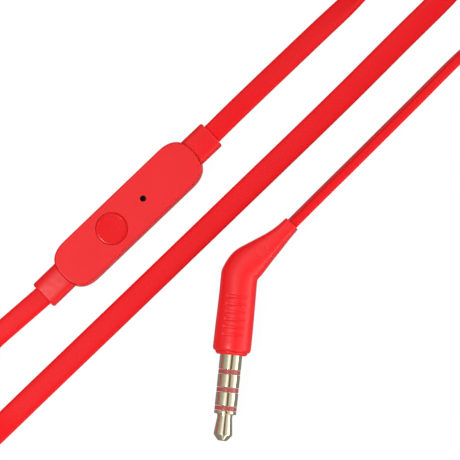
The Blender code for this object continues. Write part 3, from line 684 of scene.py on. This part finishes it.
# Grip grooves across the top of the barrel, and a shallow round dimple on the housing's neck.
BARREL_RADIUS, BARREL_TAPER = 3.0, 0.0115
GROOVE_FIRST, GROOVE_PITCH, GROOVE_COUNT = 3.0, 1.2, 6
GROOVE_DEPTH, GROOVE_WIDTH, GROOVE_REACH = 0.13, 0.5, 33.0
DIMPLE_AT, DIMPLE_RADIUS, DIMPLE_DEPTH = (20.94, -5.87), 0.95, 0.16
DIMPLE_SECTION = 7  # the section of the housing under the dimple


def plug_loop(x, y, heading, half_width, half_height, squareness):
    across = Vector((math.sin(math.radians(heading)), -math.cos(math.radians(heading)), 0.0))
    centre = Vector((x, y, PLUG_HEIGHT))
    ring = superellipse(half_width, half_height, squareness)
    return [centre + across * a + Vector((0.0, 0.0, b)) for a, b in ring]


def grooves():
    """Bent bars that leave a groove with run-out ends, each across the barrel's top."""
    work = bmesh.new()
    for n in range(GROOVE_COUNT):
        middle = GROOVE_FIRST + n * GROOVE_PITCH
        surface = BARREL_RADIUS - BARREL_TAPER * middle
        half = GROOVE_WIDTH / 2
        loops = []
        for k in range(25):
            share = k / 12 - 1
            low = surface + 0.03 - (GROOVE_DEPTH + 0.03) * math.sqrt(max(0.0, 1 - share * share))
            section = [(low, half - 0.1), (low + 0.1, half), (surface + 0.3, half)]
            section += [(r, -z) for r, z in reversed(section)]
            a = math.radians(GROOVE_REACH * share)
            loops.append([(r * math.sin(a), r * math.cos(a), z - middle) for r, z in section])
        loft(work, loops)
    return work


def make_plug_housing():
    """The angled grip: a round barrel, a bend, and a neck that flattens towards the cable."""
    end_x, end_y = PLUG_END
    turned = math.radians(BARREL_HEADING)
    rows = []
    for on, radius in BARREL_END:
        x, y = end_x + on * math.cos(turned), end_y + on * math.sin(turned)
        rows.append((x, y, BARREL_HEADING, radius, radius, ROUND))
    rows += smooth_rows(PLUG_SECTIONS, per_span=8)
    x, y, heading, a, b, n = PLUG_SECTIONS[-1]
    for on, shrink in NECK_END:
        rows.append((x + on * DIAGONAL, y + on * DIAGONAL, heading, a - shrink, b - shrink, n))
    work = bmesh.new()
    loft(work, [plug_loop(*row) for row in rows])
    housing = piece("plug_grip", work, Matrix(), MOULD_RED)
    apply_cut(housing, cylinder(SOCKET_RADIUS, *SOCKET_SPAN), PLUG)
    apply_cut(housing, grooves(), PLUG)
    half_height = PLUG_SECTIONS[DIMPLE_SECTION][4]
    top = PLUG_HEIGHT + half_height
    dimple = cylinder(DIMPLE_RADIUS, top - DIMPLE_DEPTH, top + 1.0, DIMPLE_AT)
    apply_cut(housing, dimple, Matrix())
    even_normals(housing)
    stand_for(housing, ["plug_housing"])


def band(low, high, fillet, radius):
    """A short tube round the plug's core."""
    outside = [(radius, high, fillet), (radius, low, fillet)]
    return [*outside, (CORE_RADIUS, low, 0.0), (CORE_RADIUS, high, 0.0)]


# The span of each along the pin, away from the housing.
CONTACTS = {"sleeve": (-3.0, 2.45), "ring_1": (3.2, 5.25), "ring_2": (6.05, 8.15)}
INSULATORS = {"insulator_1": (2.5, 3.15), "insulator_2": (5.3, 6.0), "insulator_3": (8.2, 8.9)}
# The stepped ring between the housing and the pin, with its core inside the housing.
STEPPED_RING = [
    (1.85, 0.15, 0.0),
    (2.25, 0.15, 0.15),
    (2.5, -0.1, 0.12),
    (2.55, -0.32, 0.0),
    (1.95, -0.32, 0.0),
    (1.95, -8.7, 0.0),
    (0.75, -8.7, 0.0),
    (0.75, -3.1, 0.0),
    (1.85, -3.1, 0.0),
]
# The tip with its waist and shoulder, and the rod that it stands on.
CONTACT_TIP = [
    (0.0, 13.65, 0.0),
    (0.68, 13.65, 0.2),
    (1.48, 12.7, 0.3),
    (1.44, 12.3, 0.5),
    (1.17, 9.9, 0.3),
    (1.22, 9.5, 0.1),
    (1.75, 9.42, 0.15),
    (1.75, 8.95, 0.1),
    (0.6, 8.95, 0.0),
    (0.6, -8.0, 0.0),
    (0.0, -8.0, 0.0),
]


def make_plug_contacts():
    """The stepped ring and everything on the pin, from the housing to the tip."""
    ring = lathe("plug_collar_ring", STEPPED_RING, PLUG, MOULD_RED)
    made = [stand_for(ring, ["plug_inner_mould"])]
    for name, span in CONTACTS.items():
        contact = lathe("contact_" + name, band(*span, 0.1, CONTACT_RADIUS), PLUG, GOLD)
        made.append(stand_for(contact, ["plug_" + name]))
    for name, span in INSULATORS.items():
        profile = band(*span, 0.05, CONTACT_RADIUS - INSULATOR_INSET)
        spacer = lathe(name, profile, PLUG, INSULATOR)
        made.append(stand_for(spacer, ["plug_" + name]))
    tip = lathe("contact_tip", CONTACT_TIP, PLUG, GOLD)
    made.append(stand_for(tip, ["plug_tip"]))
    return made


make_plug_housing()
PLUG_PIECES = make_plug_contacts()

# Splitter --------------------------------------------------------------------------------------------

SPLITTER = Matrix.Translation((-77.1, -1.0, 0.0))
SPLITTER_WIDTH, SPLITTER_LENGTH, SPLITTER_HEIGHT = 9.6, 14.0, 4.6
SPLITTER_SQUARENESS, SPLITTER_EDGE, SPLITTER_GROOVE = 5.0, 0.7, 0.06
SPLITTER_WALLS = Vector((2.0, 2.4, 1.8))  # both sides together, along each axis


def block_loop(inset, height):
    half_width, half_length = SPLITTER_WIDTH / 2 - inset, SPLITTER_LENGTH / 2 - inset
    outline = superellipse(half_width, half_length, SPLITTER_SQUARENESS, 96)
    return [(x, y, height) for x, y in outline]


def make_splitter():
    """Two mirrored shells, with a fine groove between them and a room for the wire joints."""
    half, groove = SPLITTER_HEIGHT / 2, SPLITTER_GROOVE
    over = Matrix.Translation((0.0, 0.0, SPLITTER_HEIGHT)) @ Matrix.Diagonal((1.0, 1.0, -1.0, 1.0))
    for name, node, place in (
        ("splitter_lower", "splitter_back_shell", SPLITTER @ over),
        ("splitter_upper", "splitter_front_shell", SPLITTER),
    ):
        loops = [block_loop(groove, half + groove), block_loop(0.0, half + groove + 0.08)]
        for k in range(7):
            a = math.radians(15.0 * k)
            inset, drop = SPLITTER_EDGE * (1 - math.cos(a)), SPLITTER_EDGE * (math.sin(a) - 1)
            loops.append(block_loop(inset, SPLITTER_HEIGHT + drop))
        work = bmesh.new()
        loft(work, loops)
        shell = piece(name, work, place, POD_RED)
        size = Vector((SPLITTER_WIDTH, SPLITTER_LENGTH, SPLITTER_HEIGHT)) - SPLITTER_WALLS
        room = bmesh.new()
        middle = Vector((0.0, 0.0, half))
        bmesh.ops.create_cube(room, size=1.0, matrix=Matrix.LocRotScale(middle, None, size))
        apply_cut(shell, room, SPLITTER)
        even_normals(shell)
        stand_for(shell, [node])


make_splitter()

# Earbuds ---------------------------------------------------------------------------------------------

EARBUD_HEIGHT = 5.95
HOUSING_RADIUS = 5.3
BOOT_RIBS, BOOT_STEP, BOOT_HOLE = 5, 1.05, 1.75
BOOT_END = 12.5  # the strain relief's free end, from the housing's axis
EARBUDS = {"right": ((-12.0, 43.5), 105.0), "left": ((-48.3, 17.0), 180.0)}  # place, nozzle's heading


def earbud_frame(at, nozzle_heading):
    """Z is the nozzle's axis, and Y points along the strain relief."""
    heading = math.radians(nozzle_heading)
    nozzle = Vector((math.cos(heading), math.sin(heading), 0.0))
    boot = Vector((math.sin(heading), -math.cos(heading), 0.0))
    turn = Matrix((boot.cross(nozzle), boot, nozzle)).transposed().to_4x4()
    return Matrix.Translation((*at, EARBUD_HEIGHT)) @ turn


def make_earbud(side, at, nozzle_heading):
    """Two turned housings, a cap at the back, a soft tip on the nozzle, and the strain relief."""
    place = earbud_frame(at, nozzle_heading)
    r = HOUSING_RADIUS
    rear = lathe(
        side + "_shell_rear",
        [
            (r - 0.06, 3.84, 0.0),
            (r, 3.74, 0.0),
            (r, -2.3, 0.5),
            (r - 0.35, -3.0, 0.5),
            (r - 1.0, -3.3, 0.12),
            (r - 1.0, -2.8, 0.0),
            (0.6, -2.8, 0.0),
            (0.6, -2.0, 0.0),
            (r - 0.9, -2.0, 0.0),
            (r - 0.9, 3.84, 0.0),
        ],
        place,
        POD_RED,
    )
    side_way = place @ Matrix.Rotation(math.radians(-90.0), 4, "X")
    apply_cut(rear, cylinder(BOOT_HOLE, 3.0, 7.0), side_way)
    even_normals(rear)
    stand_for(rear, [side + "_rear_housing"])
    cap = lathe(
        side + "_cap",
        [
            (0.0, -2.9, 0.0),
            (r - 1.1, -2.9, 0.0),
            (r - 1.1, -3.5, 0.2),
            (r - 1.5, -3.9, 0.35),
            (1.3, -4.06, 0.2),
            (1.15, -3.9, 0.08),
            (0.0, -3.88, 0.0),
        ],
        place,
        CAP_RED,
    )
    stand_for(cap, [side + "_back_cap"])
    front = lathe(
        side + "_shell_front",
        [
            (2.1, 11.5, 0.0),
            (2.55, 11.5, 0.15),
            (2.75, 11.1, 0.15),
            (2.75, 10.7, 0.15),
            (2.5, 10.5, 0.1),
            (2.5, 7.6, 0.5),
            (3.4, 6.9, 0.6),
            (r - 0.5, 5.6, 0.7),
            (r, 4.9, 0.5),
            (r, 4.02, 0.0),
            (r - 0.06, 3.92, 0.0),
            (r - 1.05, 3.92, 0.0),
            (r - 1.05, 3.5, 0.0),
            (r - 1.6, 3.5, 0.0),
            (r - 1.6, 4.8, 0.0),
            (1.7, 7.2, 0.0),
            (1.7, 10.7, 0.0),
            (2.1, 10.7, 0.0),
        ],
        place,
        POD_RED,
    )
    stand_for(front, [side + "_front_housing"])
    tip = lathe(
        side + "_tip",
        [
            (3.0, 8.3, 0.1),
            (3.0, 13.6, 0.35),
            (3.35, 14.0, 0.3),
            (3.75, 14.0, 0.35),
            (4.75, 13.2, 0.6),
            (5.4, 11.9, 0.6),
            (5.75, 10.2, 0.8),
            (5.7, 8.8, 0.3),
            (5.3, 8.5, 0.2),
            (5.0, 8.9, 0.2),
            (5.0, 10.2, 0.4),
            (4.6, 11.8, 0.5),
            (3.9, 12.5, 0.4),
            (3.8, 8.3, 0.2),
        ],
        place,
        SILICONE,
    )
    stand_for(tip, [side + "_ear_tip"], side + "_ear_tip")
    make_strain_relief(side, side_way)


def make_strain_relief(side, side_way):
    """A ribbed rubber boot that widens towards the housing."""
    base = HOUSING_RADIUS + 0.45
    boot = [(0.0, BOOT_END, 0.0), (1.55, BOOT_END, 0.2), (1.9, BOOT_END - 0.35, 0.2)]
    for k in range(BOOT_RIBS):
        high = BOOT_END - 0.9 - k * BOOT_STEP
        wide = 1.95 + 0.55 * (BOOT_END - high) / (BOOT_END - base)
        for out, down in ((0.0, 0.0), (-0.3, 0.12), (-0.28, 0.4), (0.06, 0.52)):
            boot.append((wide + out, high - down, 0.08))
    boot += [(2.5, base, 0.2), (1.6, base, 0.0), (1.6, 4.1, 0.0), (0.0, 4.1, 0.0)]
    relief = lathe(side + "_relief", boot, side_way, POD_RED, steps=72)
    stand_for(relief, [side + "_strain_relief"])


for side, (at, nozzle_heading) in EARBUDS.items():
    make_earbud(side, at, nozzle_heading)

# Straps ----------------------------------------------------------------------------------------------

TIE_WIDTH, TIE_THICKNESS, TIE_SLACK, TIE_SOFTNESS = 5.0, 0.4, 0.12, 0.08
RING_SIDE = 0.3
# Each tie's ring, cable, number of layers, and heading from the ring's centre.
TIES = {
    "main_cable_tie": (MAIN_RING, MAIN_CABLE, 2, 100.0),
    "left_cable_tie": (LEFT_RING, BRANCH_CABLE, 1, 250.0),
}


def strap_loop(half_width, low, high, corner, y):
    """A rectangle with round corners, across the strap's length."""
    middle, half_height = (low + high) / 2, (high - low) / 2
    points = []
    for sx, sz, start in ((1, 1, 0.0), (-1, 1, 90.0), (-1, -1, 180.0), (1, -1, 270.0)):
        for k in range(7):
            a = math.radians(start + 15.0 * k)
            points.append(
                (
                    sx * (half_width - corner) + corner * math.cos(a),
                    y,
                    middle + sz * (half_height - corner) + corner * math.sin(a),
                )
            )
    return points


def make_tie(node, spec, section, layers, heading):
    """A soft closed strap round a ring of stored cable."""
    turn = Matrix.Rotation(math.radians(heading), 4, "Z")
    place = Matrix.Translation((*spec["centre"], 0.0)) @ turn
    place = place @ Matrix.Translation(((spec["outer"] + spec["inner"]) / 2, 0.0, 0.0))
    top = RING_BASE + layers * section[0] + 0.1 + TIE_SLACK
    half = (spec["outer"] - spec["inner"] + section[1]) / 2 + RING_SIDE + TIE_SLACK
    low, high = TIE_THICKNESS, top - TIE_THICKNESS
    wide, end, soft = half + TIE_THICKNESS, TIE_WIDTH / 2, TIE_SOFTNESS
    work = bmesh.new()
    sections = []
    for y, shrink in ((-end, soft), (0.1 - end, 0.0), (end - 0.1, 0.0), (end, soft)):
        sections.append(strap_loop(wide - shrink, shrink, top - shrink, 0.9, y))
    for y in (end, -end):
        sections.append(strap_loop(half + soft, low - soft, high + soft, 0.6, y))
    sections.append(sections[0])
    loft(work, sections, caps=False)
    bmesh.ops.remove_doubles(work, verts=work.verts, dist=SAME_POINT)
    strap = piece(node + "_strap", work, place, STRAP)
    return stand_for(strap, [node])


STRAPS = {node: make_tie(node, *spec) for node, spec in TIES.items()}

# Inside ----------------------------------------------------------------------------------------------

# These enclosed pieces keep their CAD shapes and get only a material.
INSIDE = {
    "remote_switch_body": BLACK,
    "remote_switch_plunger": STEEL,
    "remote_circuit_board": BOARD,
    "remote_microphone": BLACK,
    "remote_mic_gasket": BLACK,
    "remote_chip": BLACK,
    "remote_capacitor": BLACK,
    "splitter_crimp": BLACK,
}
for side in EARBUDS:
    INSIDE[side + "_nozzle_mesh"] = STEEL
    INSIDE[side + "_driver_frame"] = BLACK
    INSIDE[side + "_driver_yoke"] = STEEL
    INSIDE[side + "_driver_magnet"] = STEEL
    INSIDE[side + "_driver_top_plate"] = STEEL
    INSIDE[side + "_driver_diaphragm"] = FILM
for node, mat in INSIDE.items():
    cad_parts[node].material_slots[0].material = mat

# Table and light -------------------------------------------------------------------------------------

TABLE_SIZE, TABLE_DROP = 6.0, 0.00002  # metres
TABLE_GLOW, TABLE_SHOWN = 0.22, 0.96  # the light it gives, and the white that it shows


def make_table():
    """A white table that looks evenly bright and gives the sides of things less light than it shows."""
    bpy.ops.mesh.primitive_plane_add(size=TABLE_SIZE, location=(0.0, 0.0, -TABLE_DROP))
    table = bpy.context.object
    table.name = "table"
    n = Nodes("white_table")
    n.shader.inputs["Base Color"].default_value = (0.05, 0.05, 0.05, 1.0)
    n.shader.inputs["Roughness"].default_value = 0.9
    n.shader.inputs["Specular IOR Level"].default_value = 0.0
    n.shader.inputs["Emission Color"].default_value = (1.0, 1.0, 1.0, 1.0)
    seen = n.tree.nodes.new("ShaderNodeLightPath").outputs["Is Camera Ray"]
    n.link(n.spread(seen, TABLE_GLOW, TABLE_SHOWN, 0.0, 1.0), n.shader.inputs["Emission Strength"])
    table.data.materials.append(n.mat)


def area_light(name, width, length, power, place):
    """A soft light panel, aimed at the remote."""
    data = bpy.data.lights.new(name, "AREA")
    data.shape = "RECTANGLE"
    data.size, data.size_y, data.energy = width, length, power
    lamp = bpy.data.objects.new(name, data)
    lamp.location = place
    lamp.rotation_euler = Vector(place).to_track_quat("Z", "Y").to_euler()
    bpy.context.scene.collection.objects.link(lamp)


STUDIO_POWER = 1.08
# The studio from the left horizon over the top to the right horizon: degrees and brightness.
STUDIO = [
    (-90, 0.3),
    (-79, 0.3),
    (-75, 0.1),
    (-71, 0.35),
    (-45, 0.45),
    (-24, 0.75),
    (-17, 1.3),
    (-9, 1.2),
    (1, 0.75),
    (7, 0.12),
    (22, 0.14),
    (30, 0.6),
    (52, 0.75),
    (64, 1.3),
    (78, 2.0),
    (90, 3.4),
]


def light_scene():
    """Bright and dark strips round the object, all along one axis, and one small near panel."""
    world = bpy.data.worlds.new("studio")
    bpy.context.scene.world = world
    world.use_nodes = True
    tree = world.node_tree
    around = tree.nodes.new("ShaderNodeTexCoord")
    split = tree.nodes.new("ShaderNodeSeparateXYZ")
    angle = tree.nodes.new("ShaderNodeMath")
    angle.operation = "ARCTAN2"
    span = tree.nodes.new("ShaderNodeMapRange")
    span.inputs["From Min"].default_value = -math.pi / 2
    span.inputs["From Max"].default_value = math.pi / 2
    # The curve's inner points hold at most 1, so it stores half of each brightness.
    ramp = tree.nodes.new("ShaderNodeFloatCurve")
    curve = ramp.mapping.curves[0]
    for k, (degrees, bright) in enumerate(STUDIO):
        place = (degrees + 90) / 180
        if k in (0, len(STUDIO) - 1):
            point = curve.points[0 if k == 0 else -1]
            point.location = (place, bright / 2)
        else:
            point = curve.points.new(place, bright / 2)
        point.handle_type = "VECTOR"
    ramp.mapping.update()
    double = tree.nodes.new("ShaderNodeMath")
    double.operation = "MULTIPLY"
    double.inputs[1].default_value = 2.0 * STUDIO_POWER
    tree.links.new(around.outputs["Generated"], split.inputs[0])
    tree.links.new(split.outputs["X"], angle.inputs[0])
    tree.links.new(split.outputs["Z"], angle.inputs[1])
    tree.links.new(angle.outputs[0], span.inputs["Value"])
    tree.links.new(span.outputs[0], ramp.inputs["Value"])
    tree.links.new(ramp.outputs[0], double.inputs[0])
    tree.links.new(double.outputs[0], tree.nodes["Background"].inputs["Strength"])
    tree.nodes["Background"].inputs["Color"].default_value = (1.0, 1.0, 1.0, 1.0)
    area_light("near_panel", 0.04, 0.04, 0.36, (-0.12, -0.1, 0.33))
    view = bpy.context.scene.view_settings
    view.view_transform = "Standard"
    view.look = "None"


make_table()
light_scene()
